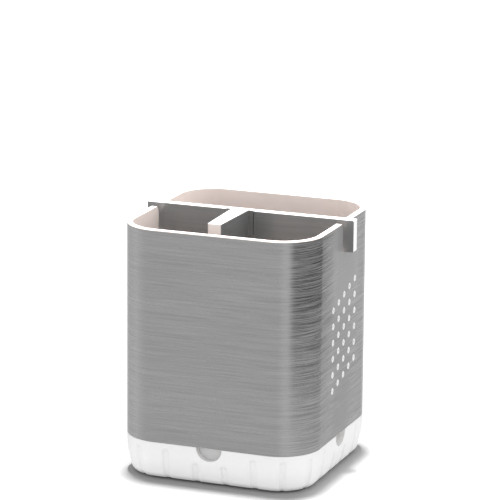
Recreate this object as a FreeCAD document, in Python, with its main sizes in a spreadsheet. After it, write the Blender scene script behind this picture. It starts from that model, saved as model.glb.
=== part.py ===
"""Ventilated toothbrush holder: a ribbed base tray, a steel-wrapped holder that lifts off it,
a long divider hung in two side slots, and a cross divider keyed into the long one.

Frame: +Z up, -Y is the front, the origin is on the floor under the middle of the holder.
"""
import FreeCAD, Part
import math
import os
import Sketcher
from FreeCAD import Placement, Rotation, Vector

# alias, millimetres (or degrees, or a count), what it is
DIMENSIONS = [
    ("outer_width", 92.0, "width and depth over the steel sleeve"),
    ("corner_radius", 19.0, "outer corner radius in plan"),
    ("foot_rise", 0.6, "how far the pads hold the tray off the floor"),
    ("base_height", 17.4, "tray height up to the ledge under the holder"),
    ("shell_height", 97.4, "height of the steel sleeve"),
    ("rim_height", 0.4, "white rim standing above the sleeve"),
    ("rim_rounding", 0.2, "rounding on the rim's two edges"),
    ("sleeve_gauge", 0.5, "sheet thickness of the sleeve"),
    ("wall_total", 2.6, "moulded wall and sleeve together"),
    ("slip_fit", 0.3, "side clearance between pieces that slide"),
    ("rest_gap", 0.1, "clearance under pieces that rest"),
    ("bow_drop", 11.5, "height of the tray's tapering lower part"),
    ("bow_angle", 12.0, "taper of the tray's lower part"),
    ("bow_radius", 34.0, "rounding where the taper starts"),
    ("bottom_rounding", 3.4, "rounding of the tray's bottom edge"),
    ("tray_wall", 5.0, "tray wall at the ledge"),
    ("tray_floor", 2.2, "tray floor"),
    ("spigot_height", 4.0, "locating wall above the ledge"),
    ("groove_count", 24.0, "upright grooves around the tray"),
    ("groove_width", 2.7, "groove width"),
    ("groove_depth", 0.7, "groove depth"),
    ("groove_lip", 3.0, "plain lip above a groove"),
    ("groove_lip_middle", 8.1, "plain lip above the grooves beside a finger notch"),
    ("notch_radius", 6.2, "finger notch in the middle of each tray side"),
    ("pad_radius", 5.0, "rubber pad"),
    ("pad_height", 1.4, "rubber pad"),
    ("pad_offset", 27.0, "rubber pad from the middle, each way"),
    ("grate_seat", 4.6, "underside of the grate seat above the holder's bottom"),
    ("grate_seat_width", 1.9, "how far the grate seat stands inward"),
    ("grate_seat_height", 2.0, "grate seat"),
    ("grate_thickness", 2.2, "drain grate"),
    ("drain_width", 1.8, "drain slit"),
    ("drain_length", 15.0, "drain slit"),
    ("drain_corner", 0.6, "rounding in a drain slit's corners"),
    ("drain_pitch", 4.1, "drain slits from side to side"),
    ("drain_count", 18.0, "drain slits from side to side"),
    ("drain_rows", 4.0, "rows of drain slits"),
    ("slot_centre", 3.75, "slot behind the middle"),
    ("slot_width", 8.5, "slot in each side wall for the long divider"),
    ("slot_floor", 83.9, "slot floor above the holder's bottom"),
    ("slot_corner", 1.2, "rounding in the slot's lower corners"),
    ("slot_flare", 4.0, "quarter round that opens the slot's mouth to each side"),
    ("flare_rise", 0.3, "end of that quarter round above the rim"),
    ("divider_centre", 4.5, "long divider behind the middle"),
    ("divider_total", 5.0, "long divider with both skins"),
    ("skin_gauge", 0.3, "brushed skin on the dividers"),
    ("divider_rise", 0.8, "long divider above the rim"),
    ("ear_reach", 4.0, "ear beyond the sleeve"),
    ("ear_rounding", 0.5, "rounding on the ear's corners"),
    ("divider_underside", 12.6, "long divider's lower edge above the holder's bottom"),
    ("cleat_height", 11.0, "locating cleats beside the long divider's foot"),
    ("cleat_size", 1.7, "locating cleats, width and depth"),
    ("cleat_lift", 0.2, "locating cleats above the drain grate"),
    ("cross_centre", -4.7, "cross divider left of the middle"),
    ("cross_front", 6.8, "cross divider with both skins, at its free end"),
    ("cross_back", 8.5, "cross divider with both skins, at the long divider"),
    ("cross_reach", 31.0, "cross divider in front of the long divider"),
    ("cross_rise", 0.3, "cross divider above the long one"),
    ("cross_lift", 2.0, "cross divider's lower edge above the long divider's"),
    ("key_side", 2.2, "key beyond each flank of the cross divider"),
    ("key_flare", 0.8, "how much the key widens towards its back"),
    ("key_depth", 2.2, "key into the long divider"),
    ("key_height", 10.8, "key height from the long divider's top down"),
    ("key_fit", 0.2, "clearance around the key"),
    ("vent_radius", 1.7, "vent hole in the sleeve"),
    ("vent_bore", 0.5, "radius of the finer vent hole in the moulded wall"),
    ("vent_rows", 6.0, "vent holes in a column"),
    ("vent_columns", 5.0, "columns of vent holes"),
    ("vent_pitch", 7.5, "vent holes up a column"),
    ("vent_step", 7.1, "from column to column"),
    ("vent_climb", 2.1, "how much higher the next column back sits"),
    ("vent_centre", 2.5, "vent field behind the middle"),
    ("vent_height", 45.5, "vent field's middle above the holder's bottom"),
    ("overrun", 5.0, "how far cutters run past what they cut"),
    ("root", 0.5, "how far an added part roots in the wall behind it"),
]

# Lengths that several pieces share, as expressions on the sheet
HALF = "dims.outer_width / 2"
INNER_HALF = "(dims.outer_width / 2 - dims.wall_total)"
INNER_RADIUS = "(dims.corner_radius - dims.wall_total)"
HOLDER_BOTTOM = "(dims.foot_rise + dims.base_height + dims.rest_gap)"
RIM_TOP = "(dims.shell_height + dims.rim_height)"
DIVIDER_FRONT = "(dims.divider_centre - dims.divider_total / 2)"
EAR_BOTTOM = "(dims.slot_floor + dims.rest_gap)"
DIVIDER_REAR = "(dims.divider_centre + dims.divider_total / 2)"
EAR_TIP = "(dims.outer_width / 2 + dims.ear_reach)"
GRATE_BOTTOM = "(dims.grate_seat + dims.grate_seat_height)"
CROSS_BACK = f"({DIVIDER_FRONT} - dims.key_fit)"
DIVIDER_TOP = f"({RIM_TOP} + dims.divider_rise)"
KEY_BOTTOM = f"({DIVIDER_TOP} - dims.key_height)"

doc = FreeCAD.newDocument("toothbrush_holder")
sheet = doc.addObject("Spreadsheet::Sheet", "dims")


def fill_sheet():
    """Write each dimension beside its meaning and give its cell the alias."""
    for row, (alias, number, meaning) in enumerate(DIMENSIONS, start=1):
        sheet.set(f"A{row}", meaning)
        sheet.set(f"B{row}", str(number))
        sheet.setAlias(f"B{row}", alias)
    doc.recompute()


def value(expression):
    """The number that an expression on the sheet stands for."""
    return float(sheet.evalExpression(expression))


# ---------------------------------------------------------------- sketches

def new_body(label):
    body = doc.addObject("PartDesign::Body", label)
    body.Label = label
    return body


def new_sketch(body, name, plane="XY_Plane", height=None):
    """A sketch on one of the body's own planes, raised along the plane's normal."""
    sketch = body.newObject("Sketcher::SketchObject", f"{body.Name}_{name}")
    support = [item for item in body.Origin.OriginFeatures if item.Role == plane][0]
    sketch.AttachmentSupport = [(support, "")]
    sketch.MapMode = "FlatFace"
    if height:
        sketch.AttachmentOffset = Placement(Vector(0, 0, value(height)), Rotation())
        sketch.setExpression("AttachmentOffset.Base.z", height)
    return sketch


def drive(sketch, kind, references, expression):
    """Add a driving dimension that follows the sheet."""
    index = sketch.addConstraint(Sketcher.Constraint(kind, *references, value(expression)))
    sketch.setExpression(f"Constraints[{index}]", expression)


def locate(sketch, geometry, point, x, y):
    """Fix a point of the sketch at the place that two expressions give."""
    for kind, expression, axis in (("DistanceX", x, -2), ("DistanceY", y, -1)):
        distance = value(expression)
        if abs(distance) < 1e-9:
            sketch.addConstraint(Sketcher.Constraint("PointOnObject", geometry, point, axis))
        elif distance > 0:
            drive(sketch, kind, (-1, 1, geometry, point), expression)
        else:
            drive(sketch, kind, (geometry, point, -1, 1), f"-({expression})")


def draw_outline(sketch, corners, coves=(), cove_radius="0"):
    """A closed polygon through corners given as pairs of expressions.

    An edge whose number is in coves is a quarter round instead, centred above or below its
    lower end, so that it hollows the outline. Such an arc runs against the outline's order.
    """
    places = [Vector(value(x), value(y), 0) for x, y in corners]
    first = sketch.GeometryCount
    count = len(places)
    for index in range(count):
        here, following = places[index], places[(index + 1) % count]
        if index not in coves:
            sketch.addGeometry(Part.LineSegment(here, following))
            continue
        lower, upper = sorted((here, following), key=lambda place: place.y)
        hub = Vector(upper.x, lower.y, 0)
        start, end = following - hub, here - hub
        circle = Part.Circle(hub, Vector(0, 0, 1), value(cove_radius))
        angles = (math.atan2(start.y, start.x), math.atan2(end.y, end.x))
        sketch.addGeometry(Part.ArcOfCircle(circle, *angles))
    for index in range(count):
        following = (index + 1) % count
        end_point = 1 if index in coves else 2
        start_point = 2 if following in coves else 1
        sketch.addConstraint(Sketcher.Constraint(
            "Coincident", first + index, end_point, first + following, start_point
        ))
    for index, (x, y) in enumerate(corners):
        locate(sketch, first + index, 2 if index in coves else 1, x, y)
    for index in coves:
        drive(sketch, "Radius", (first + index,), cove_radius)


def draw_rectangle(sketch, left, right, low, high):
    draw_outline(sketch, [(left, low), (right, low), (right, high), (left, high)])


def draw_rounded(sketch, half_width, half_depth, radius, centre=("0", "0")):
    """A rounded rectangle: four lines and four tangent arcs."""
    across, along, turn = value(half_width), value(half_depth), value(radius)
    middle = Vector(value(centre[0]), value(centre[1]), 0)
    first = sketch.GeometryCount
    signs = ((1, -1), (1, 1), (-1, 1), (-1, -1))
    hubs = [middle + Vector(sx * (across - turn), sy * (along - turn), 0) for sx, sy in signs]
    for index, hub in enumerate(hubs):
        start = math.radians(90 * index - 90)
        following = hubs[(index + 1) % 4]
        normal = Vector(math.cos(start + math.pi / 2), math.sin(start + math.pi / 2), 0) * turn
        circle = Part.Circle(hub, Vector(0, 0, 1), turn)
        sketch.addGeometry(Part.ArcOfCircle(circle, start, start + math.pi / 2))
        sketch.addGeometry(Part.LineSegment(hub + normal, following + normal))
    for index in range(4):
        arc = first + 2 * index
        line = arc + 1
        following = first + (2 * index + 2) % 8
        sketch.addConstraint(Sketcher.Constraint("Tangent", arc, 2, line, 1))
        sketch.addConstraint(Sketcher.Constraint("Tangent", line, 2, following, 1))
        direction = "Horizontal" if index % 2 else "Vertical"
        sketch.addConstraint(Sketcher.Constraint(direction, line))
        if index:
            sketch.addConstraint(Sketcher.Constraint("Equal", first, arc))
    drive(sketch, "Radius", (first,), radius)
    for index in (1, 3):
        sx, sy = signs[index]
        x = f"{centre[0]} + ({sx}) * ({half_width} - ({radius}))"
        y = f"{centre[1]} + ({sy}) * ({half_depth} - ({radius}))"
        locate(sketch, first + 2 * index, 3, x, y)


# ---------------------------------------------------------------- features

def extrude(body, kind, sketch, length, symmetric=False, reverse=False):
    """A Pad or a Pocket of the sketch, its length following the sheet."""
    feature = body.newObject(f"PartDesign::{kind}", f"{sketch.Name}_{kind.lower()}")
    feature.Profile = sketch
    feature.Length = value(length)
    feature.setExpression("Length", length)
    feature.SideType = "Symmetric" if symmetric else "One side"
    feature.Reversed = reverse
    doc.recompute()
    return feature


def pocket(body, sketch, depth, symmetric=False, reverse=False):
    """A pocket that is checked to have removed material."""
    before = body.Shape.Volume
    feature = extrude(body, "Pocket", sketch, depth, symmetric, reverse)
    if feature.Shape.Volume > before - 0.5:
        raise RuntimeError(f"{feature.Name} cuts nothing")
    return feature


def pad(body, sketch, length, symmetric=False, reverse=False):
    return extrude(body, "Pad", sketch, length, symmetric, reverse)


def dress_edges(body, kind, name, size, chosen):
    """A Fillet or Chamfer on the tip's edges that the chosen() test accepts."""
    base = body.Tip
    edges = [f"Edge{i + 1}" for i, edge in enumerate(base.Shape.Edges) if chosen(edge)]
    feature = body.newObject(f"PartDesign::{kind}", f"{body.Name}_{name}")
    feature.Base = (base, edges)
    setting = "Radius" if kind == "Fillet" else "Size"
    setattr(feature, setting, value(size))
    feature.setExpression(setting, size)
    doc.recompute()
    return feature


def lies_at(height):
    """A test for edges that lie in the level plane at this height."""
    def test(edge):
        box = edge.BoundBox
        return abs(box.ZMin - height) < 1e-4 and abs(box.ZMax - height) < 1e-4
    return test


def cut(name, base, tool):
    result = doc.addObject("Part::Cut", name)
    result.Base = base
    result.Tool = tool
    doc.recompute()
    return result


def gather(name, members):
    group = doc.addObject("Part::Compound", name)
    group.Links = members
    doc.recompute()
    return group


def place(item, x="0", y="0", z="0"):
    """Place an object at expressions on the sheet."""
    item.Placement.Base = Vector(value(x), value(y), value(z))
    for axis, expression in (("x", x), ("y", y), ("z", z)):
        if expression != "0":
            item.setExpression(f"Placement.Base.{axis}", expression)


# ---------------------------------------------------------------- shared cutters

def vent_pins(name, radius):
    """The slanted field of holes, as pins of a radius that run through both side walls."""
    pins = []
    for column in range(int(value("dims.vent_columns"))):
        across = f"({column} - (dims.vent_columns - 1) / 2)"
        for row in range(int(value("dims.vent_rows"))):
            along = f"({row} - (dims.vent_rows - 1) / 2)"
            pin = doc.addObject("Part::Cylinder", f"{name}_{column}_{row}")
            pin.setExpression("Radius", radius)
            pin.setExpression("Height", "dims.outer_width + 2 * dims.overrun")
            pin.Placement.Rotation = Rotation(Vector(0, 1, 0), 90)
            place(
                pin,
                "-dims.outer_width / 2 - dims.overrun",
                f"dims.vent_centre + {across} * dims.vent_step",
                f"dims.vent_height + {along} * dims.vent_pitch + {across} * dims.vent_climb",
            )
            pins.append(pin)
    return gather(name, pins)


def cut_divider_slots(body):
    """The open slots that the long divider's ears drop into, one in each side wall."""
    sketch = new_sketch(body, "slots", "YZ_Plane")
    front = "(dims.slot_centre - dims.slot_width / 2)"
    rear = "(dims.slot_centre + dims.slot_width / 2)"
    flare_end = f"({RIM_TOP} + dims.flare_rise)"
    flare_start = f"({flare_end} - dims.slot_flare)"
    high = f"({RIM_TOP} + dims.overrun)"
    corners = [
        (front, "dims.slot_floor"),
        (rear, "dims.slot_floor"),
        (rear, flare_start),
        (f"({rear} + dims.slot_flare)", flare_end),
        (f"({rear} + dims.slot_flare)", high),
        (f"({front} - dims.slot_flare)", high),
        (f"({front} - dims.slot_flare)", flare_end),
        (front, flare_start),
    ]
    draw_outline(sketch, corners, coves=(2, 6), cove_radius="dims.slot_flare")
    pocket(body, sketch, "dims.outer_width + 2 * dims.overrun", symmetric=True)

    def lower_corner(edge):
        box = edge.BoundBox
        level = box.YLength < 1e-6 and box.ZLength < 1e-6
        return level and abs(box.ZMin - value("dims.slot_floor")) < 1e-4

    dress_edges(body, "Fillet", "slot_corners", "dims.slot_corner", lower_corner)


# ---------------------------------------------------------------- base tray

def tray_form(name, inset):
    """The tray's outer form: upright above, bowed inward below, inset evenly by a length."""
    body = new_body(name)
    half = f"{HALF} - {inset}"
    radius = f"dims.corner_radius - {inset}"
    upper = new_sketch(body, "upper", height="dims.bow_drop")
    draw_rounded(upper, half, half, radius)
    pad(body, upper, "dims.base_height - dims.bow_drop")
    lower = new_sketch(body, "lower", height="dims.bow_drop")
    draw_rounded(lower, half, half, radius)
    taper = pad(body, lower, "dims.bow_drop", reverse=True)
    taper.setExpression("TaperAngle", "-dims.bow_angle")
    doc.recompute()
    dress_edges(body, "Fillet", "bow", "dims.bow_radius", lies_at(value("dims.bow_drop")))
    dress_edges(body, "Fillet", "bottom", "dims.bottom_rounding", lies_at(0))
    return body


def perimeter_point(distance, half, radius):
    """Point and outward heading (degrees) at a distance along one quarter of the rounded plan.

    The quarter runs from the middle of the front side to the middle of the right side.
    """
    straight = half - radius
    arc = radius * math.pi / 2
    if distance < straight:
        return distance, -half, -90.0
    if distance < straight + arc:
        turn = math.degrees((distance - straight) / radius)
        angle = math.radians(turn - 90)
        return straight + radius * math.cos(angle), -straight + radius * math.sin(angle), turn - 90
    return half, distance - straight - arc - straight, 0.0


def groove_cells():
    """Upright blocks, evenly spaced around the tray, that mark where its grooves run."""
    half, radius = value(HALF), value("dims.corner_radius")
    count = int(value("dims.groove_count"))
    quarter = 2 * (half - radius) + radius * math.pi / 2
    step = 4 * quarter / count
    per_quarter = count // 4
    overrun = value("dims.overrun")
    depth = 3 * overrun
    width = value("dims.groove_width")
    cells = []
    for index in range(count):
        side, place_in_side = divmod(index, per_quarter)
        x, y, heading = perimeter_point((place_in_side + 0.5) * step, half, radius)
        beside_notch = place_in_side in (0, per_quarter - 1)
        lip = "dims.groove_lip_middle" if beside_notch else "dims.groove_lip"
        cell = doc.addObject("Part::Box", f"groove_cell_{index}")
        cell.Length = depth
        cell.setExpression("Width", "dims.groove_width")
        cell.setExpression("Height", f"dims.base_height - {lip} + dims.overrun")
        spin = Rotation(Vector(0, 0, 1), 90 * side)
        turn = Rotation(Vector(0, 0, 1), 90 * side + heading)
        outward = turn.multVec(Vector(1, 0, 0))
        sideways = turn.multVec(Vector(0, 1, 0))
        inner = spin.multVec(Vector(x, y, -overrun)) - outward * (depth - overrun)
        cell.Placement = Placement(inner - sideways * (width / 2), turn)
        cells.append(cell)
    return gather("groove_cells", cells)


def finger_notches():
    """Half-round finger notches at the ledge, cut in as far as the locating wall."""
    depth = "(dims.wall_total + dims.slip_fit + dims.overrun)"
    discs = []
    for index in range(4):
        disc = doc.addObject("Part::Cylinder", f"notch_disc_{index}")
        disc.setExpression("Radius", "dims.notch_radius")
        disc.setExpression("Height", depth)
        turn = Rotation(Vector(0, 0, 1), 90 * index)
        disc.Placement.Rotation = turn * Rotation(Vector(1, 0, 0), 90)
        inner = value(f"{INNER_HALF} - dims.slip_fit")
        disc.Placement.Base = turn.multVec(Vector(0, -inner, value("dims.base_height")))
        discs.append(disc)
    return gather("finger_notches", discs)


def pad_cylinders(name, radius, height, z):
    """Four upright cylinders at the places of the rubber pads."""
    cylinders = []
    for index, (sx, sy) in enumerate(((1, 1), (-1, 1), (-1, -1), (1, -1))):
        cylinder = doc.addObject("Part::Cylinder", f"{name}_{index}")
        cylinder.setExpression("Radius", radius)
        cylinder.setExpression("Height", height)
        place(cylinder, f"({sx}) * dims.pad_offset", f"({sy}) * dims.pad_offset", z)
        cylinders.append(cylinder)
    return cylinders


def make_base_tray():
    outer = tray_form("tray_outer_form", "0")
    inner = tray_form("tray_groove_form", "dims.groove_depth")
    skin = cut("tray_groove_skin", outer, inner)
    grooves = doc.addObject("Part::Common", "tray_grooves")
    grooves.Base = skin
    grooves.Tool = groove_cells()
    doc.recompute()
    ribbed = cut("tray_ribbed", outer, grooves)

    notches = finger_notches()
    notched = cut("tray_notched", ribbed, notches)

    spigot_body = new_body("tray_spigot")
    spigot_low = "(dims.tray_floor + dims.root)"
    spigot_sketch = new_sketch(spigot_body, "plan", height=spigot_low)
    locating_half = f"{INNER_HALF} - dims.slip_fit"
    locating_radius = f"{INNER_RADIUS} - dims.slip_fit"
    draw_rounded(spigot_sketch, locating_half, locating_half, locating_radius)
    pad(spigot_body, spigot_sketch, f"dims.base_height + dims.spigot_height - {spigot_low}")
    rim = lies_at(value("dims.base_height + dims.spigot_height"))
    dress_edges(spigot_body, "Chamfer", "lead_in", "dims.slip_fit * 2", rim)

    solid = doc.addObject("Part::Fuse", "tray_solid")
    solid.Base = notched
    solid.Tool = spigot_body
    doc.recompute()

    well = new_body("tray_well")
    well_sketch = new_sketch(well, "plan", height="dims.tray_floor")
    well_half = f"{HALF} - dims.tray_wall"
    draw_rounded(well_sketch, well_half, well_half, "dims.corner_radius - dims.tray_wall")
    pad(well, well_sketch, "dims.base_height + dims.spigot_height")
    dress_edges(well, "Fillet", "floor", "dims.tray_floor", lies_at(value("dims.tray_floor")))
    hollow = cut("tray_hollow", solid, well)

    recesses = pad_cylinders(
        "pad_recess", "dims.pad_radius + dims.rest_gap", "dims.pad_height - dims.foot_rise", "0"
    )
    tray = cut("base_tray", hollow, gather("pad_recesses", recesses))
    place(tray, z="dims.foot_rise")
    return tray


def make_foot_pads():
    return gather("foot_pads", pad_cylinders("foot_pad", "dims.pad_radius", "dims.pad_height", "0"))


# ---------------------------------------------------------------- holder

def make_body_shell(pins):
    """The white moulded holder: wall, rim, grate seat and the divider's locating cleats."""
    body = new_body("shell_form")
    plastic_half = f"{HALF} - dims.sleeve_gauge"
    plastic_radius = "dims.corner_radius - dims.sleeve_gauge"
    wall = new_sketch(body, "wall")
    draw_rounded(wall, plastic_half, plastic_half, plastic_radius)
    draw_rounded(wall, INNER_HALF, INNER_HALF, INNER_RADIUS)
    pad(body, wall, "dims.shell_height")
    rim = new_sketch(body, "rim", height="dims.shell_height")
    draw_rounded(rim, HALF, HALF, "dims.corner_radius")
    draw_rounded(rim, INNER_HALF, INNER_HALF, INNER_RADIUS)
    pad(body, rim, "dims.rim_height")
    dress_edges(body, "Fillet", "rim_edges", "dims.rim_rounding", lies_at(value(RIM_TOP)))

    seat = new_sketch(body, "grate_seat", height="dims.grate_seat")
    rooted_half = f"({INNER_HALF} + dims.root)"
    draw_rounded(seat, rooted_half, rooted_half, INNER_RADIUS)
    seat_half = f"{INNER_HALF} - dims.grate_seat_width"
    draw_rounded(seat, seat_half, seat_half, f"{INNER_RADIUS} - dims.grate_seat_width")
    pad(body, seat, "dims.grate_seat_height")

    grate_top = f"{GRATE_BOTTOM} + dims.grate_thickness"
    cleats = new_sketch(body, "cleats", height=f"{grate_top} + dims.cleat_lift")
    near = "dims.divider_total / 2 + dims.slip_fit"
    for across in (1, -1):
        reach = (f"({across}) * ({INNER_HALF} - dims.cleat_size)", f"({across}) * {rooted_half}")
        left, right = reach if across > 0 else reach[::-1]
        for along in (1, -1):
            edges = (
                f"dims.divider_centre + ({along}) * ({near})",
                f"dims.divider_centre + ({along}) * ({near} + dims.cleat_size)",
            )
            low, high = edges if along > 0 else edges[::-1]
            draw_rectangle(cleats, left, right, low, high)
    pad(body, cleats, "dims.cleat_height")
    cut_divider_slots(body)

    shell = cut("body_shell", body, pins)
    place(shell, z=HOLDER_BOTTOM)
    return shell


def make_outer_sleeve(pins):
    """The brushed steel wrap around the moulded holder."""
    body = new_body("sleeve_form")
    wall = new_sketch(body, "wall")
    draw_rounded(wall, HALF, HALF, "dims.corner_radius")
    inner_half = f"{HALF} - dims.sleeve_gauge"
    draw_rounded(wall, inner_half, inner_half, "dims.corner_radius - dims.sleeve_gauge")
    pad(body, wall, "dims.shell_height")
    cut_divider_slots(body)
    sleeve = cut("outer_sleeve", body, pins)
    place(sleeve, z=HOLDER_BOTTOM)
    return sleeve


def make_drain_grate():
    """The floor of the compartments, a plate with rows of drain slits."""
    body = new_body("drain_grate")
    plan = new_sketch(body, "plan")
    plate_half = f"{INNER_HALF} - dims.rest_gap"
    draw_rounded(plan, plate_half, plate_half, f"{INNER_RADIUS} - dims.rest_gap")
    pad(body, plan, "dims.grate_thickness")
    slits = new_sketch(body, "slits")
    spread = "(dims.drain_pitch * (dims.drain_count - 1) / 2)"
    row_pitch = "(dims.drain_length + dims.drain_pitch - dims.drain_width)"
    for row in range(int(value("dims.drain_rows"))):
        draw_rounded(
            slits,
            "dims.drain_width / 2",
            "dims.drain_length / 2",
            "dims.drain_corner",
            (f"-{spread}", f"({row} - (dims.drain_rows - 1) / 2) * {row_pitch}"),
        )
    first = pocket(body, slits, "dims.grate_thickness", reverse=True)
    pattern = body.newObject("PartDesign::LinearPattern", "drain_pattern")
    pattern.Originals = [first]
    pattern.Direction = (slits, ["H_Axis"])
    pattern.setExpression("Length", f"2 * {spread}")
    pattern.setExpression("Occurrences", "dims.drain_count")
    body.Tip = pattern
    doc.recompute()
    place(body, z=f"{HOLDER_BOTTOM} + {GRATE_BOTTOM}")
    return body


# ---------------------------------------------------------------- long divider

def make_divider_plate(label, front, thickness):
    """A plate whose front face is at y = front: a panel with a rounded ear at each side."""
    body = new_body(label)
    outline = new_sketch(body, "outline", "XZ_Plane", height=f"-({front})")
    panel = f"({INNER_HALF} - dims.slip_fit)"
    draw_outline(outline, [
        (f"-{panel}", "dims.divider_underside"),
        (panel, "dims.divider_underside"),
        (panel, EAR_BOTTOM),
        (EAR_TIP, EAR_BOTTOM),
        (EAR_TIP, DIVIDER_TOP),
        (f"-{EAR_TIP}", DIVIDER_TOP),
        (f"-{EAR_TIP}", EAR_BOTTOM),
        (f"-{panel}", EAR_BOTTOM),
    ])
    pad(body, outline, thickness, reverse=True)

    def ear_corner(edge):
        box = edge.BoundBox
        across = box.XLength < 1e-6 and box.ZLength < 1e-6
        return across and abs(abs(box.XMin) - value(EAR_TIP)) < 1e-4

    dress_edges(body, "Fillet", "ear_corners", "dims.ear_rounding", ear_corner)
    return body


def make_divider_core():
    """The white plate between the skins, with the keyway for the cross divider."""
    front = f"{DIVIDER_FRONT} + dims.skin_gauge"
    body = make_divider_plate("divider_core", front, "dims.divider_total - 2 * dims.skin_gauge")
    keyway = new_sketch(body, "keyway", height=f"{KEY_BOTTOM} - dims.rest_gap")
    mouth = "(dims.cross_back / 2 + dims.key_side + dims.key_fit)"
    back = f"({mouth} + dims.key_flare)"
    deep = f"{DIVIDER_FRONT} + dims.key_depth + dims.key_fit"
    draw_outline(keyway, [
        (f"dims.cross_centre - {mouth}", DIVIDER_FRONT),
        (f"dims.cross_centre + {mouth}", DIVIDER_FRONT),
        (f"dims.cross_centre + {back}", deep),
        (f"dims.cross_centre - {back}", deep),
    ])
    pocket(body, keyway, "dims.key_height + dims.overrun", reverse=True)
    place(body, z=HOLDER_BOTTOM)
    return body


def make_divider_front_skin():
    """The brushed front skin, open at the top where the cross divider's key sits."""
    body = make_divider_plate("divider_front_skin", DIVIDER_FRONT, "dims.skin_gauge")
    widening = "dims.key_flare * dims.skin_gauge / dims.key_depth"
    mouth = f"(dims.cross_back / 2 + dims.key_side + dims.key_fit + {widening})"
    ahead = f"-({DIVIDER_FRONT}) + dims.overrun"
    opening = new_sketch(body, "opening", "XZ_Plane", height=ahead)
    draw_rectangle(
        opening,
        f"dims.cross_centre - {mouth}",
        f"dims.cross_centre + {mouth}",
        f"{KEY_BOTTOM} - dims.rest_gap",
        f"{DIVIDER_TOP} + dims.overrun",
    )
    pocket(body, opening, "2 * dims.overrun")
    place(body, z=HOLDER_BOTTOM)
    return body


def make_divider_rear_skin():
    front = f"{DIVIDER_REAR} - dims.skin_gauge"
    body = make_divider_plate("divider_rear_skin", front, "dims.skin_gauge")
    place(body, z=HOLDER_BOTTOM)
    return body


# ---------------------------------------------------------------- cross divider

CROSS_TOP = f"({DIVIDER_TOP} + dims.cross_rise)"
CROSS_LOW = "(dims.divider_underside + dims.cross_lift)"
CROSS_FRONT = f"({DIVIDER_FRONT} - dims.cross_reach)"


def make_cross_core():
    """The cross divider's white wedge, with the key that drops into the long divider."""
    body = new_body("cross_divider_core")
    free_half = "(dims.cross_front / 2 - dims.skin_gauge)"
    back_half = "(dims.cross_back / 2 - dims.skin_gauge)"
    wedge = new_sketch(body, "wedge", height=CROSS_LOW)
    draw_outline(wedge, [
        (f"dims.cross_centre - {free_half}", CROSS_FRONT),
        (f"dims.cross_centre + {free_half}", CROSS_FRONT),
        (f"dims.cross_centre + {back_half}", CROSS_BACK),
        (f"dims.cross_centre - {back_half}", CROSS_BACK),
    ])
    pad(body, wedge, f"{CROSS_TOP} - {CROSS_LOW}")

    neck = new_sketch(body, "neck", height=KEY_BOTTOM)
    draw_rectangle(
        neck,
        f"dims.cross_centre - {back_half}",
        f"dims.cross_centre + {back_half}",
        CROSS_BACK,
        f"{DIVIDER_FRONT} + dims.key_depth / 2",
    )
    pad(body, neck, f"{CROSS_TOP} - {KEY_BOTTOM}")

    key = new_sketch(body, "key", height=KEY_BOTTOM)
    mouth = "(dims.cross_back / 2 + dims.key_side)"
    back = f"({mouth} + dims.key_flare)"
    face = f"{DIVIDER_FRONT} + dims.skin_gauge"
    draw_outline(key, [
        (f"dims.cross_centre - {mouth}", face),
        (f"dims.cross_centre + {mouth}", face),
        (f"dims.cross_centre + {back}", f"{DIVIDER_FRONT} + dims.key_depth"),
        (f"dims.cross_centre - {back}", f"{DIVIDER_FRONT} + dims.key_depth"),
    ])
    pad(body, key, f"{CROSS_TOP} - {KEY_BOTTOM}")
    place(body, z=HOLDER_BOTTOM)
    return body


def make_cross_skin(label, side):
    """A brushed skin on one flank (side is -1 or 1), returned outward over the key's face."""
    body = new_body(label)

    def aside(distance):
        return f"dims.cross_centre + ({side}) * ({distance})"

    inner_free = aside("dims.cross_front / 2 - dims.skin_gauge")
    outer_free = aside("dims.cross_front / 2")
    inner_back = aside("dims.cross_back / 2 - dims.skin_gauge")
    outer_back = aside("dims.cross_back / 2")
    tip = aside("dims.cross_back / 2 + dims.key_side")
    flank = new_sketch(body, "flank", height=CROSS_LOW)
    draw_outline(flank, [
        (inner_free, CROSS_FRONT),
        (outer_free, CROSS_FRONT),
        (outer_back, CROSS_BACK),
        (inner_back, CROSS_BACK),
    ])
    pad(body, flank, f"{CROSS_TOP} - {CROSS_LOW}")

    corner = new_sketch(body, "return", height=KEY_BOTTOM)
    draw_outline(corner, [
        (inner_back, CROSS_BACK),
        (outer_back, CROSS_BACK),
        (outer_back, DIVIDER_FRONT),
        (tip, DIVIDER_FRONT),
        (tip, f"{DIVIDER_FRONT} + dims.skin_gauge"),
        (inner_back, f"{DIVIDER_FRONT} + dims.skin_gauge"),
    ])
    pad(body, corner, f"{CROSS_TOP} - {KEY_BOTTOM}")
    place(body, z=HOLDER_BOTTOM)
    return body


# ---------------------------------------------------------------- assembly

def check(pieces):
    """Stop if any object of the document failed or any piece is not a sound solid."""
    failed = [item.Name for item in doc.Objects if {"Invalid", "Error"} & set(item.State)]
    if failed:
        raise RuntimeError(f"failed objects: {failed}")
    for piece in pieces:
        shape = piece.Shape
        if shape.isNull() or not shape.isValid() or not shape.Solids:
            raise RuntimeError(f"{piece.Label} is not a sound solid")
        box = shape.BoundBox
        print(
            f"{piece.Label:26s} solids {len(shape.Solids)}  volume {shape.Volume:9.1f}  "
            f"x {box.XMin:.2f}..{box.XMax:.2f}  y {box.YMin:.2f}..{box.YMax:.2f}  "
            f"z {box.ZMin:.2f}..{box.ZMax:.2f}"
        )


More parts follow.
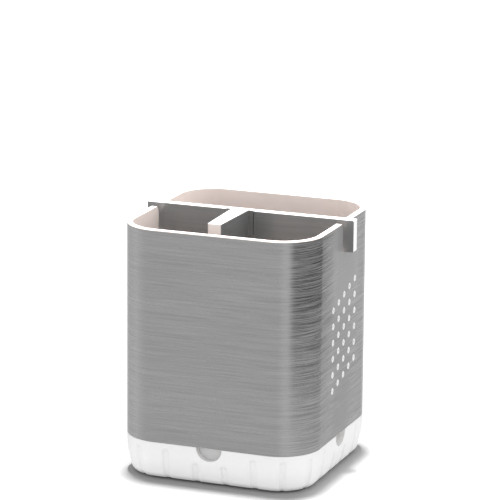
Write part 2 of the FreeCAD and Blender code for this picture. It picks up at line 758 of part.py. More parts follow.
def main():
    fill_sheet()
    sleeve_pins = vent_pins("sleeve_vent_pins", "dims.vent_radius")
    wall_pins = vent_pins("wall_vent_pins", "dims.vent_bore")
    pieces = [
        make_base_tray(),
        make_foot_pads(),
        make_body_shell(wall_pins),
        make_outer_sleeve(sleeve_pins),
        make_drain_grate(),
        make_divider_core(),
        make_divider_front_skin(),
        make_divider_rear_skin(),
        make_cross_core(),
        make_cross_skin("cross_divider_left_skin", -1),
        make_cross_skin("cross_divider_right_skin", 1),
    ]
    doc.recompute()
    check(pieces)
    os.makedirs("parts", exist_ok=True)
    for piece in pieces:
        piece.Shape.exportStep(f"parts/{piece.Label}.step")


main()
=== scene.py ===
import math

import bmesh
import bpy
from mathutils import Matrix, Vector


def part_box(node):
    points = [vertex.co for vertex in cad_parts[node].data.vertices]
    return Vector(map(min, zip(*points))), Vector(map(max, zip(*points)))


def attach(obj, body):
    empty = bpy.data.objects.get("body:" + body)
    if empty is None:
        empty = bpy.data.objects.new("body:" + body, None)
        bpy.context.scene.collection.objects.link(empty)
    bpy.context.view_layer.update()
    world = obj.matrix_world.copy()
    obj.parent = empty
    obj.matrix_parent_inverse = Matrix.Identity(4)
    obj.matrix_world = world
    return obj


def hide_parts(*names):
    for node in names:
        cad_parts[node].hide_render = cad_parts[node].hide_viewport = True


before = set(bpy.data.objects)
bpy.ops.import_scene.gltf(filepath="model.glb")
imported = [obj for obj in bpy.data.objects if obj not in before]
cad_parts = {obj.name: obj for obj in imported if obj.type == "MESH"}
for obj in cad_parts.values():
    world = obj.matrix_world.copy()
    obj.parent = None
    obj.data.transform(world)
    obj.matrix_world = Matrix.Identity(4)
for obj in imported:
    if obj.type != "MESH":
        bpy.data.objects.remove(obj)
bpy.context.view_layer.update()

MM = 0.001

# ---------------------------------------------------------------- the object's driving sizes

TRAY_BODY, HOLDER, LONG, CROSS = "tray", "holder", "long_divider", "cross_divider"

# Tray and holder share one plan, a square with rounded corners; a quarter of its outline runs
# from the middle of one side round a corner to the middle of the next
SLEEVE_LOW, SLEEVE_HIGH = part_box("outer_sleeve")
HALF = SLEEVE_HIGH.x
CORNER = 19.0 * MM
STRAIGHT = HALF - CORNER
CORNER_ARC = CORNER * math.pi / 2
QUARTER = 2 * STRAIGHT + CORNER_ARC

# The tray's levels, and the locating wall (the spigot) that stands on its ledge round the well
TRAY_LOW, TRAY_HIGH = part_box("base_tray")
TRAY_BOTTOM = TRAY_LOW.z
TRAY_FLOOR = TRAY_BOTTOM + 2.2 * MM
SPIGOT_TOP = TRAY_HIGH.z
LEDGE = SPIGOT_TOP - 4.0 * MM
SPIGOT_HALF = HALF - 2.9 * MM
WELL_HALF = HALF - 5.0 * MM

# The tray's bowed side: upright above, tapering in below, with a rounded bottom edge. The plain
# upright part ends this far below the ledge, whose own small rounding is above it
BOW_DROP = 11.5 * MM
BOW_START = TRAY_BOTTOM + BOW_DROP
BOW_INSET = BOW_DROP * math.tan(math.radians(12.0))
BOW_RADIUS = 34.0 * MM
BOW_END = BOW_START + 3.7 * MM
BOTTOM_RADIUS = 3.4 * MM
LEDGE_EDGE = 0.6 * MM

# Upright grooves around the tray and the half-round finger notches at its ledge
GROOVES = 24
GROOVES_PER_QUARTER = GROOVES // 4
GROOVE_WIDTH = 2.7 * MM
GROOVE_DEPTH = 0.7 * MM
GROOVE_SOFTNESS = 0.5 * MM
GROOVE_TOP = LEDGE - 3.0 * MM
GROOVE_TOP_BY_NOTCH = LEDGE - 8.1 * MM
GROOVE_FADE = 3.0 * MM
NOTCH_RADIUS = 6.2 * MM

# The slanted field of vents in each side wall: columns run from front to back
VENT_ROWS = 6
VENT_COLUMNS = 5
VENT_PITCH = 7.5 * MM
VENT_STEP = 7.1 * MM
VENT_CLIMB = 2.1 * MM
VENT_CENTRE = 2.5 * MM
VENT_HEIGHT = SLEEVE_LOW.z + 45.5 * MM
VENT_RADIUS = 1.7 * MM
VENT_BORE = 0.5 * MM

# Each vent's white lip: how far it stays below the sleeve's face and off the hole's edge, how
# deep it goes and how its two front edges are broken
LIP_CLEARANCE = 0.06 * MM
LIP_DEPTH = 0.8 * MM
LIP_OUTER_EDGE = 0.12 * MM
LIP_BORE_EDGE = 0.15 * MM

# The slots that the long divider hangs in, and the seam of the cross divider's key
SLOT_CENTRE = 3.75 * MM
KEY_SEAM = 1.9 * MM
DIVIDER_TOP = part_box("divider_core")[1].z


# ---------------------------------------------------------------- mesh helpers

# In a copy of a CAD node, vertices closer than this are welded, faces that turn less than the
# flat angle are joined, and edges that turn more than the crisp angle are rounded
WELD = 0.001 * MM
FLAT_ANGLE = math.radians(0.4)
CRISP_ANGLE = math.radians(35.0)


def add_object(name, mesh):
    piece = bpy.data.objects.new(name, mesh)
    bpy.context.scene.collection.objects.link(piece)
    return piece


def add_built(name, work):
    """A new object from finished mesh work, which is let go."""
    mesh = bpy.data.meshes.new(name)
    work.to_mesh(mesh)
    work.free()
    return add_object(name, mesh)


def join_rings(work, first, second):
    """Faces between two closed rings that have as many vertices as each other."""
    count = len(first)
    for index in range(count):
        following = (index + 1) % count
        work.faces.new((first[index], first[following], second[following], second[index]))


def finish_piece(piece, body, material, replaced=None):
    """Give a finished piece its finish and its body, and hide the CAD node that it may stand for.
    """
    piece.data.materials.clear()
    piece.data.materials.append(material)
    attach(piece, body)
    if replaced:
        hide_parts(replaced)


def smooth_by_angle(piece, degrees):
    """Smooth faces with crisp shading at the edges that stay sharper than the angle."""
    mesh = piece.data
    mesh.shade_smooth()
    mesh.set_sharp_from_angle(angle=math.radians(degrees))


def softened(name, node, width, segments=2):
    """A copy of a CAD node with clean flat faces and every crisp edge rounded a little."""
    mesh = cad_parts[node].data.copy()
    mesh.name = name
    work = bmesh.new()
    work.from_mesh(mesh)
    bmesh.ops.remove_doubles(work, verts=work.verts, dist=WELD)
    bmesh.ops.dissolve_limit(work, angle_limit=FLAT_ANGLE, verts=work.verts, edges=work.edges)
    work.to_mesh(mesh)
    work.free()
    mesh.shade_smooth()
    if mesh.attributes.get("custom_normal"):
        mesh.attributes.remove(mesh.attributes["custom_normal"])
    piece = add_object(name, mesh)
    bevel = piece.modifiers.new("edge_rounding", "BEVEL")
    bevel.width = width
    bevel.segments = segments
    bevel.limit_method = "ANGLE"
    bevel.angle_limit = CRISP_ANGLE
    bevel.use_clamp_overlap = True
    bevel.harden_normals = True
    normals = piece.modifiers.new("even_normals", "WEIGHTED_NORMAL")
    normals.keep_sharp = True
    return piece


def rounded_path(corners, steps=10):
    """Points along a polyline whose corners, given as (x, z, radius), are rounded."""
    path = []
    for index, (x, z, radius) in enumerate(corners):
        here = Vector((x, z))
        if radius == 0 or index in (0, len(corners) - 1):
            path.append(here)
            continue
        before = (Vector(corners[index - 1][:2]) - here).normalized()
        after = (Vector(corners[index + 1][:2]) - here).normalized()
        half_angle = before.angle(after) / 2
        reach = radius / math.tan(half_angle)
        hub = here + (before + after).normalized() * radius / math.sin(half_angle)
        start = here + before * reach - hub
        sweep = start.angle_signed(here + after * reach - hub)
        for step in range(steps + 1):
            turn = Matrix.Rotation(-sweep * step / steps, 2)
            path.append(hub + turn @ start)
    return path


def smoothstep(value):
    value = min(1.0, max(0.0, value))
    return value * value * (3 - 2 * value)


# ---------------------------------------------------------------- base tray

def perimeter_point(distance):
    """Point and outward direction at a distance along the tray's rounded square plan."""
    side, along = divmod(distance, QUARTER)
    if along < STRAIGHT:
        point, heading = Vector((along, -HALF)), -math.pi / 2
    elif along < STRAIGHT + CORNER_ARC:
        heading = (along - STRAIGHT) / CORNER - math.pi / 2
        outward = Vector((math.cos(heading), math.sin(heading)))
        point = Vector((STRAIGHT, -STRAIGHT)) + outward * CORNER
    else:
        point, heading = Vector((HALF, along - CORNER_ARC - 2 * STRAIGHT)), 0.0
    spin = Matrix.Rotation(side * math.pi / 2, 2)
    outward = Vector((math.cos(heading), math.sin(heading)))
    return spin @ point, spin @ outward


def tray_columns():
    """Places around the tray, closer together in the grooves.

    Each is the point, the outward direction, the distance from the nearest groove's middle
    and that groove's upper end.
    """
    half_groove_steps, gap_steps = 8, 6
    pitch = 4 * QUARTER / GROOVES
    edge = GROOVE_WIDTH / 2 + GROOVE_SOFTNESS
    gap = pitch / 2 - edge
    inside = [
        edge * step / half_groove_steps
        for step in range(-half_groove_steps, half_groove_steps + 1)
    ]
    outside = [edge + gap * step / gap_steps for step in range(1, gap_steps)]
    offsets = [-place for place in reversed(outside)] + inside + outside + [pitch / 2]
    columns = []
    for groove in range(GROOVES):
        beside_notch = groove % GROOVES_PER_QUARTER in (0, GROOVES_PER_QUARTER - 1)
        upper_end = GROOVE_TOP_BY_NOTCH if beside_notch else GROOVE_TOP
        for offset in offsets:
            distance = (groove + 0.5) * pitch + offset
            point, outward = perimeter_point(distance % (4 * QUARTER))
            columns.append((point, outward, offset, upper_end))
    return columns


def groove_weight(offset, height, upper_end):
    """How much of the groove's depth holds here: 1 along its floor, 0 outside, soft between."""
    end = upper_end - GROOVE_WIDTH / 2
    beyond = max(0.0, height - end)
    distance = math.hypot(offset, beyond)
    return smoothstep((GROOVE_WIDTH / 2 + GROOVE_SOFTNESS - distance) / (2 * GROOVE_SOFTNESS))


def outer_profile():
    """The section of the tray's outside, from under its bottom up to just below the ledge."""
    upright_top = LEDGE - LEDGE_EDGE
    upright_steps = 8
    path = rounded_path([
        (HALF * 0.55, TRAY_BOTTOM, 0),
        (BOW_INSET, TRAY_BOTTOM, BOTTOM_RADIUS),
        (0.0, BOW_START, BOW_RADIUS),
        (0.0, upright_top, 0),
    ])
    upright = [
        Vector((0.0, BOW_END + (upright_top - BOW_END) * step / upright_steps))
        for step in range(1, upright_steps)
    ]
    return path[:-1] + upright + [path[-1]]


def inner_profile():
    """The section from the ledge's edge over the locating wall and down to the well's floor."""
    spigot_inset = HALF - SPIGOT_HALF
    well_inset = HALF - WELL_HALF
    return rounded_path([
        (0.0, LEDGE - 0.55 * MM, 0),
        (0.0, LEDGE, 0.35 * MM),
        (spigot_inset, LEDGE, 0.3 * MM),
        (spigot_inset, SPIGOT_TOP, 0.6 * MM),
        (well_inset, SPIGOT_TOP, 0.5 * MM),
        (well_inset, TRAY_FLOOR, 2.2 * MM),
        (HALF * 0.5, TRAY_FLOOR, 0),
    ], steps=5)


def tray_profile():
    """The tray's section: (inset from the outer face, height, share of the groove's depth).

    The grooves run on round the bottom edge and fade out under the tray.
    """
    flat_start = BOW_INSET + BOTTOM_RADIUS
    rows = []
    for inset, height in outer_profile():
        share = smoothstep((flat_start + GROOVE_FADE - inset) / GROOVE_FADE)
        rows.append((inset, height, share))
    rows += [(inset, height, 0.0) for inset, height in inner_profile()]
    return rows


def make_tray():
    """The ribbed tray: its section swept around the rounded square, then notched.

    Nearer the middle than the corner arcs' centres the rings only shrink.
    """
    columns = tray_columns()
    furthest = CORNER * 0.999
    work = bmesh.new()
    rings = []
    for inset, height, share in tray_profile():
        ring = []
        for point, outward, offset, upper_end in columns:
            inward = inset + GROOVE_DEPTH * share * groove_weight(offset, height, upper_end)
            place = point - outward * min(inward, furthest)
            if inward > furthest:
                place *= 1 - (inward - furthest) / HALF
            ring.append(work.verts.new((place.x, place.y, height)))
        rings.append(ring)
    for lower, upper in zip(rings, rings[1:]):
        join_rings(work, lower, upper)
    work.faces.new(list(reversed(rings[0])))
    work.faces.new(rings[-1])
    bmesh.ops.recalc_face_normals(work, faces=work.faces)
    tray = add_built("tray_moulding", work)
    cut_notches(tray)
    smooth_by_angle(tray, 35.0)
    return tray


def cut_notches(tray):
    """Take the finger notches out of the tray and keep what is left as its mesh."""
    cutter = add_notch_cutter()
    cutting = tray.modifiers.new("finger_notches", "BOOLEAN")
    cutting.object = cutter
    cutting.operation = "DIFFERENCE"
    cutting.solver = "EXACT"
    graph = bpy.context.evaluated_depsgraph_get()
    notched = bpy.data.meshes.new_from_object(tray.evaluated_get(graph))
    tray.modifiers.clear()
    tray.data = notched
    bpy.data.objects.remove(cutter)


def add_notch_cutter():
    """Four level discs, one in the middle of each side, that stop at the locating wall."""
    work = bmesh.new()
    overrun = 2 * MM
    bite = 0.03 * MM
    reach = HALF - SPIGOT_HALF + overrun
    for side in range(4):
        turn = Matrix.Rotation(side * math.pi / 2, 4, "Z")
        place = Matrix.Translation((0, -SPIGOT_HALF - reach / 2 + bite, LEDGE))
        stand = Matrix.Rotation(math.pi / 2, 4, "X")
        bmesh.ops.create_cone(
            work, cap_ends=True, segments=72, radius1=NOTCH_RADIUS, radius2=NOTCH_RADIUS,
            depth=reach, matrix=turn @ place @ stand,
        )
    return add_built("notch_cutter", work)


# ---------------------------------------------------------------- vents

def vent_places():
    """The middle of every vent in one side wall, as (y, z)."""
    for column in range(VENT_COLUMNS):
        across = column - (VENT_COLUMNS - 1) / 2
        for row in range(VENT_ROWS):
            up = row - (VENT_ROWS - 1) / 2
            yield (
                VENT_CENTRE + across * VENT_STEP,
                VENT_HEIGHT + up * VENT_PITCH + across * VENT_CLIMB,
            )


def lip_section():
    """A lip's section as (radius, x), once round from its outer back edge."""
    outer = VENT_RADIUS - LIP_CLEARANCE
    face = HALF - LIP_CLEARANCE
    back = HALF - LIP_DEPTH
    return [
        (outer, back),
        (outer, face - LIP_OUTER_EDGE),
        (outer - LIP_OUTER_EDGE, face),
        (VENT_BORE + LIP_BORE_EDGE, face),
        (VENT_BORE, face - LIP_BORE_EDGE),
        (VENT_BORE, back),
    ]


def add_lip(work, side, y, z):
    """One vent's lip, its section turned round the vent's axis."""
    around = 28
    angles = [2 * math.pi * index / around for index in range(around)]
    rings = [
        [
            work.verts.new((side * x, y + radius * math.cos(angle), z + radius * math.sin(angle)))
            for angle in angles
        ]
        for radius, x in lip_section()
    ]
    for first, second in zip(rings, rings[1:] + rings[:1]):
        join_rings(work, first, second)


def make_vent_lips():
    """White lips of the moulded wall that stand in the sleeve's holes, around the vents."""
    work = bmesh.new()
    for side in (-1, 1):
        for y, z in vent_places():
            add_lip(work, side, y, z)
    bmesh.ops.recalc_face_normals(work, faces=work.faces)
    lips = add_built("vent_lips", work)
    smooth_by_angle(lips, 30.0)
    return lips


# ---------------------------------------------------------------- material helpers

# Where a Mix node has its two colours and its result
MIX_A, MIX_B, MIX_RESULT = 6, 7, 2


class Tree:
    """A material's or a world's node tree, with short calls for the nodes used here."""

    def __init__(self, owner):
        owner.use_nodes = True
        self.nodes = owner.node_tree.nodes
        self.links = owner.node_tree.links

    def link(self, source, target):
        """Join a socket to an input, or set the input to a plain value."""
        if isinstance(source, bpy.types.NodeSocket):
            self.links.new(source, target)
        else:
            target.default_value = source

    def add(self, kind, inputs=None, **settings):
        node = self.nodes.new(kind)
        for key, setting in settings.items():
            setattr(node, key, setting)
        for key, source in (inputs or {}).items():
            self.link(source, node.inputs[key])
        return node

    def math(self, operation, first, second=0.0):
        node = self.add("ShaderNodeMath", {0: first, 1: second}, operation=operation)
        return node.outputs[0]

    def product(self, first, *others):
        for other in others:
            first = self.math("MULTIPLY", first, other)
        return first

    def vector_math(self, operation, first, second=(0, 0, 0)):
        node = self.add("ShaderNodeVectorMath", {0: first, 1: second}, operation=operation)
        return node.outputs["Value" if operation == "LENGTH" else "Vector"]

    def position(self):
        return self.add("ShaderNodeTexCoord").outputs["Object"]

    def axes(self, vector):
        """A vector's x, y and z, each as its own socket."""
        outputs = self.add("ShaderNodeSeparateXYZ", {0: vector}).outputs
        return [outputs[axis] for axis in "XYZ"]

    def upward(self, height):
        """A vector straight up, of this length."""
        return self.add("ShaderNodeCombineXYZ", {"Z": height}).outputs[0]

    def noise(self, vector, scale=1.0, detail=2.0, roughness=0.5):
        inputs = {"Vector": vector, "Scale": scale, "Detail": detail, "Roughness": roughness}
        return self.add("ShaderNodeTexNoise", inputs).outputs["Fac"]

    def remap(self, value, low, high, to_low, to_high, smooth=False):
        inputs = {
            "Value": value, "From Min": low, "From Max": high,
            "To Min": to_low, "To Max": to_high,
        }
        kind = "SMOOTHSTEP" if smooth else "LINEAR"
        node = self.add("ShaderNodeMapRange", inputs, interpolation_type=kind)
        return node.outputs["Result"]

    def blend(self, factor, first, second):
        inputs = {"Factor": factor, MIX_A: first, MIX_B: second}
        return self.add("ShaderNodeMix", inputs, data_type="RGBA").outputs[MIX_RESULT]

    def bump(self, height, distance, strength, **inputs):
        inputs.update({"Height": height, "Distance": distance, "Strength": strength})
        return self.add("ShaderNodeBump", inputs).outputs["Normal"]


def new_material(name):
    """A material with a Principled shader: the material, its tree and the shader's inputs."""
    material = bpy.data.materials.new(name)
    tree = Tree(material)
    shader = tree.nodes["Principled BSDF"]
    return material, tree, shader.inputs


def grey(level, tint=(1.0, 1.0, 1.0)):
    return (level * tint[0], level * tint[1], level * tint[2], 1.0)


# ---------------------------------------------------------------- masks over parts of the object

def on_locating_wall(tree, place, height):
    """A mask for the notches' painted shade: the locating wall's outer face, down to their
    bottom.

    All round, the wall stands at one distance from the square whose corners are the centres of
    the plan's rounded corners.
    """
    aside = tree.vector_math("ABSOLUTE", place)
    past_square = tree.vector_math("ADD", aside, (-STRAIGHT, -STRAIGHT, -1.0))
    reach = tree.vector_math("LENGTH", tree.vector_math("MAXIMUM", past_square))
    wall_reach = CORNER - (HALF - SPIGOT_HALF)
    within = tree.remap(reach, wall_reach + 0.15 * MM, wall_reach + 0.05 * MM, 0.0, 1.0)
    beyond = tree.remap(reach, wall_reach - 0.9 * MM, wall_reach - 0.8 * MM, 0.0, 1.0)
    above = tree.remap(height, LEDGE - 8.0 * MM, LEDGE - 7.9 * MM, 0.0, 1.0)
    return tree.product(within, beyond, above)


def beside_slots(tree, place):
    """A soft mask over the sleeve's two sides, close to the slots the divider hangs in."""
    across, along, height = tree.axes(place)
    off_slot = tree.math("ABSOLUTE", tree.math("SUBTRACT", along, SLOT_CENTRE))
    near = tree.remap(off_slot, 9 * MM, 20 * MM, 1.0, 0.0, smooth=True)
    high = tree.remap(height, 70 * MM, 86 * MM, 0.0, 1.0, smooth=True)
    side = tree.remap(tree.math("ABSOLUTE", across), 40 * MM, 44 * MM, 0.0, 1.0, smooth=True)
    return tree.product(near, high, side)


def coarse_sides(tree, place):
    """A soft mask over the sleeve's sides, from the rounded corners almost to their middle."""
    across, along, _ = tree.axes(place)
    side = tree.remap(tree.math("ABSOLUTE", across), 31 * MM, 39 * MM, 0.0, 1.0, smooth=True)
    outer = tree.remap(tree.math("ABSOLUTE", along), 4 * MM, 16 * MM, 0.0, 1.0, smooth=True)
    return tree.product(side, outer)


def on_ears(tree, place):
    """A soft mask over the long divider's two ends, where its ears hang in the slots."""
    across = tree.axes(place)[0]
    return tree.remap(tree.math("ABSOLUTE", across), 41 * MM, 45 * MM, 0.0, 1.0, smooth=True)


# ---------------------------------------------------------------- moulded plastics

BEIGE = (1.0, 0.890, 0.840)
# The warm tint of the painted shade inside the holder
INSIDE_SHADE_TINT = (1.0, 0.935, 0.900)
DUSTY = (1.0, 0.99, 0.96)

# Scales are in noise cells per metre
CLOUD_SCALE = 45.0
PEEL_SCALE = 420.0
GRAIN_SCALE = 3800.0
SCUFF_SCALE = (700, 700, 160)
DUST_SCALE = 260.0
PIT_SCALE = 2600.0


def moulded_surface(tree, inputs, low, high, roughness):
    """A faint orange peel, a fine satin grain and a few scuffs; returns the clouded colour."""
    place = tree.position()
    cloud = tree.noise(place, scale=CLOUD_SCALE, detail=2.0)
    peel = tree.noise(place, scale=PEEL_SCALE, detail=1.0)
    grain = tree.noise(place, scale=GRAIN_SCALE, detail=2.0, roughness=0.6)
    stretched = tree.vector_math("MULTIPLY", place, SCUFF_SCALE)
    scuff = tree.noise(stretched, detail=3.0, roughness=0.7)
    worn = tree.remap(scuff, 0.62, 0.75, 0.0, 0.12, smooth=True)
    satin = tree.remap(grain, 0.3, 0.7, roughness - 0.05, roughness + 0.05)
    tree.link(tree.math("ADD", satin, worn), inputs["Roughness"])
    relief = tree.math("ADD", tree.product(peel, 0.7), tree.product(grain, 0.3))
    tree.link(tree.bump(relief, 0.03 * MM, 0.35), inputs["Normal"])
    return tree.blend(tree.remap(cloud, 0.3, 0.7, 0.0, 1.0), low, high)


def shell_plastic():
    """The holder's moulded wall and grate: a white with a little beige in it."""
    material, tree, inputs = new_material("shell_plastic_look")
    colour = moulded_surface(tree, inputs, grey(0.90, BEIGE), grey(0.92, BEIGE), 0.34)
    tree.link(colour, inputs["Base Color"])
    return material


def tray_plastic():
    """Moulded white plastic, painted lighter towards the bottom, with painted shade on the
    locating wall.
    """
    material, tree, inputs = new_material("tray_plastic_look")
    white = moulded_surface(tree, inputs, grey(0.73), grey(0.75), 0.42)
    place = tree.position()
    height = tree.axes(place)[2]
    # Painted light: the tray is painted paler towards the bottom, making up for the shade the
    # dark floor puts on its lower part
    painted_foot_light = tree.remap(height, TRAY_BOTTOM, LEDGE, 1.0, 0.0)
    white = tree.blend(painted_foot_light, white, grey(0.89))
    # Painted shade: the locating wall, bared by the finger notches, is painted grey in place of
    # the shade in these recesses
    painted_notch_shade = on_locating_wall(tree, place, height)
    tree.link(tree.blend(painted_notch_shade, white, grey(0.53)), inputs["Base Color"])
    return material


def divider_plastic():
    """Moulded white plastic, painted darker and warmer inside the holder as its shade, a plainer
    white at the ears, and painted shade in the key's seam.
    """
    material, tree, inputs = new_material("divider_plastic_look")
    # Painted shade: inside the holder the core is painted darker and warmer, standing in for the
    # holder's shade; the ears keep a plainer, lighter white
    painted_inside_shade = moulded_surface(tree, inputs, grey(0.78, INSIDE_SHADE_TINT), grey(0.80, INSIDE_SHADE_TINT), 0.34)
    place = tree.position()
    across, along, height = tree.axes(place)
    # Painted shade: a near-black line behind the key's seam, standing in for the shade in the gap
    # between the two cores
    off_seam = tree.math("ABSOLUTE", tree.math("SUBTRACT", across, KEY_SEAM))
    narrow = tree.remap(off_seam, 0.35 * MM, 0.5 * MM, 1.0, 0.0)
    behind = tree.remap(along, 1.6 * MM, 1.9 * MM, 0.0, 1.0)
    below = tree.remap(height, DIVIDER_TOP - 0.6 * MM, DIVIDER_TOP - 0.4 * MM, 1.0, 0.0)
    painted_seam_shade = tree.product(narrow, behind, below)
    colour = tree.blend(on_ears(tree, place), painted_inside_shade, grey(0.88))
    tree.link(tree.blend(painted_seam_shade, colour, grey(0.04)), inputs["Base Color"])
    return material


def pad_rubber():
    """Soft rubber feet: dull, finely pitted, a little dusty."""
    material, tree, inputs = new_material("pad_rubber_look")
    place = tree.position()
    dust = tree.noise(place, scale=DUST_SCALE, detail=4.0, roughness=0.7)
    pits = tree.noise(place, scale=PIT_SCALE, detail=3.0, roughness=0.7)
    dusty = tree.remap(dust, 0.35, 0.65, 0.0, 1.0)
    tree.link(tree.blend(dusty, grey(0.42), grey(0.54, DUSTY)), inputs["Base Color"])
    tree.link(tree.remap(pits, 0.3, 0.7, 0.72, 0.9), inputs["Roughness"])
    tree.link(tree.bump(pits, 0.06 * MM, 0.5), inputs["Normal"])
    return material


# ---------------------------------------------------------------- brushed steels

COOL = (0.95, 1.0, 1.02)

# Noise cells per metre along x, y and z: streaks are long and level, so few along x and y
FINE_STREAKS = (45, 45, 3000)
MEDIUM_STREAKS = (24, 24, 1050)
BROAD_STREAKS = (14, 14, 130)
SCRATCHES = (26, 26, 700)
WAVER = (20, 20, 40)

# How far the streaks wander up and down, how deep they are, how far they turn the surface
# sideways and change its roughness, and how much duller they are on the sleeve's sides
WAVER_HEIGHT = 0.25 * MM
STREAK_DEPTH = 0.006 * MM
SIDEWAYS_TURN = 0.03
ROUGHNESS_SPREAD = 0.03
COARSE_DULLNESS = 1.7


def wavering(tree, place):
    """The place moved up or down a little, which keeps level streaks from being dead straight."""
    waver = tree.noise(tree.vector_math("MULTIPLY", place, WAVER), detail=1.0)
    shift = tree.remap(waver, 0.3, 0.7, -WAVER_HEIGHT, WAVER_HEIGHT)
    return tree.vector_math("ADD", place, tree.upward(shift))


def streaks(tree, course, scale, detail, roughness):
    """Noise drawn out along the brushing."""
    return tree.noise(tree.vector_math("MULTIPLY", course, scale), 1.0, detail, roughness)


def swayed_normal(tree, upright, sway):
    """The surface's normal turned level to one side or the other, by an angle in radians."""
    facing = tree.add("ShaderNodeNewGeometry").outputs["Normal"]
    sideways = tree.vector_math("CROSS_PRODUCT", upright, facing)
    offset = tree.vector_math("MULTIPLY", sideways, sway)
    return tree.vector_math("NORMALIZE", tree.vector_math("ADD", facing, offset))


def brushed_steel(name, dark, light, roughness, metallic, dullness, matt_mask, matt):
    """Steel brushed level round the piece: long thin streaks, nearly straight.

    The streaks shade the colour, the roughness and the surface, and turn the surface sideways
    by a degree or two, which frays the edges of what it mirrors. The duller streaks scatter
    some light, so they stand out where the steel mirrors something dark, and more so on the
    sleeve's sides. The steel is matt where its mask says so.
    """
    material, tree, inputs = new_material(name)
    place = tree.position()
    course = wavering(tree, place)
    fine = streaks(tree, course, FINE_STREAKS, 2.0, 0.6)
    medium = streaks(tree, course, MEDIUM_STREAKS, 2.0, 0.55)
    broad = streaks(tree, course, BROAD_STREAKS, 1.0, 0.5)
    scratch = streaks(tree, course, SCRATCHES, 1.0, 0.4)

    grain = tree.math("ADD", tree.product(fine, 0.5), tree.product(medium, 0.4))
    grain = tree.math("ADD", grain, tree.product(broad, 0.1))
    scratched = tree.remap(scratch, 0.28, 0.36, 1.0, 0.0, smooth=True)
    shade = tree.remap(grain, 0.34, 0.66, 0.0, 1.0)
    shade = tree.math("SUBTRACT", shade, tree.product(scratched, 0.3))
    is_matt = matt_mask(tree, place)
    colour = tree.blend(is_matt, tree.blend(shade, dark, light), matt)
    tree.link(colour, inputs["Base Color"])

    scatter = tree.remap(
        coarse_sides(tree, place), 0.0, 1.0, dullness, COARSE_DULLNESS * dullness
    )
    dull_streaks = tree.remap(fine, 0.38, 0.62, 1.0, 0.0)
    metal = tree.math("SUBTRACT", metallic, tree.product(dull_streaks, scatter))
    tree.link(tree.product(metal, tree.math("SUBTRACT", 1.0, is_matt)), inputs["Metallic"])
    smoother, rougher = roughness - ROUGHNESS_SPREAD, roughness + ROUGHNESS_SPREAD
    tree.link(tree.remap(medium, 0.3, 0.7, smoother, rougher), inputs["Roughness"])

    upright = tree.upward(1.0)
    inputs["Anisotropic"].default_value = 0.6
    tree.link(upright, inputs["Tangent"])
    sway = tree.remap(medium, 0.3, 0.7, -SIDEWAYS_TURN, SIDEWAYS_TURN)
    swayed = swayed_normal(tree, upright, sway)
    tree.link(tree.bump(grain, STREAK_DEPTH, 0.5, Normal=swayed), inputs["Normal"])
    return material


def sleeve_steel():
    return brushed_steel(
        "sleeve_steel_look", grey(0.380), grey(0.500), roughness=0.25, metallic=1.0,
        dullness=0.27, matt_mask=beside_slots, matt=grey(0.25),
    )


def divider_steel():
    return brushed_steel(
        "divider_steel_look", grey(0.230, COOL), grey(0.285, COOL), roughness=0.32,
        metallic=0.62, dullness=0.12, matt_mask=on_ears, matt=grey(0.20),
    )


# ---------------------------------------------------------------- pieces

def make_pieces():
    """Every visible piece; all but the vents' lips stand for one CAD node each."""
    white_tray = tray_plastic()
    white_shell = shell_plastic()
    white_core = divider_plastic()
    skin_steel = divider_steel()

    tray = make_tray()
    finish_piece(tray, TRAY_BODY, white_tray, "base_tray")
    pads = softened("pad_set", "foot_pads", 0.35 * MM, 3)
    finish_piece(pads, TRAY_BODY, pad_rubber(), "foot_pads")

    shell = softened("shell_moulding", "body_shell", 0.15 * MM)
    finish_piece(shell, HOLDER, white_shell, "body_shell")
    sleeve = softened("sleeve_wrap", "outer_sleeve", 0.12 * MM)
    finish_piece(sleeve, HOLDER, sleeve_steel(), "outer_sleeve")
    lips = make_vent_lips()
    finish_piece(lips, HOLDER, white_tray)
    grate = softened("grate_plate", "drain_grate", 0.25 * MM)
    finish_piece(grate, HOLDER, white_shell, "drain_grate")

    core = softened("long_divider_plate", "divider_core", 0.15 * MM)
    finish_piece(core, LONG, white_core, "divider_core")
    for side in ("front", "rear"):
        skin = softened(f"long_divider_{side}_face", f"divider_{side}_skin", 0.1 * MM)
        finish_piece(skin, LONG, skin_steel, f"divider_{side}_skin")

    fin = softened("cross_divider_plate", "cross_divider_core", 0.2 * MM)
    finish_piece(fin, CROSS, white_core, "cross_divider_core")
    for side in ("left", "right"):
        skin = softened(f"cross_divider_{side}_face", f"cross_divider_{side}_skin", 0.1 * MM)
        finish_piece(skin, CROSS, skin_steel, f"cross_divider_{side}_skin")


# ---------------------------------------------------------------- studio

# What shiny surfaces mirror, by azimuth in degrees: 0 is in front of the object, 90 to its right
MIRRORED_LIGHT = [
    (-180, 0.66), (-150, 0.62), (-118, 0.60), (-98, 0.68), (-80, 0.76), (-62, 0.68),
    (-45, 0.62), (10, 0.62), (28, 0.72), (40, 0.72), (100, 0.64), (150, 0.58),
    (160, 0.56), (172, 0.70), (180, 0.66),
]
LIGHT_TOP = 1.1
SOFT_LIGHT = 1.05

FLOOR_RADIUS = 7.0
LAMP_AIM = Vector((0, 0, 50.0 * MM))

# The dark cards: how far off the object's middle, where they begin and end, and how high
FLAG_ASIDE = 58.0 * MM
FLAG_FRONT, FLAG_BACK = -80.0 * MM, 30.0 * MM
FLAG_HEIGHT = 160.0 * MM


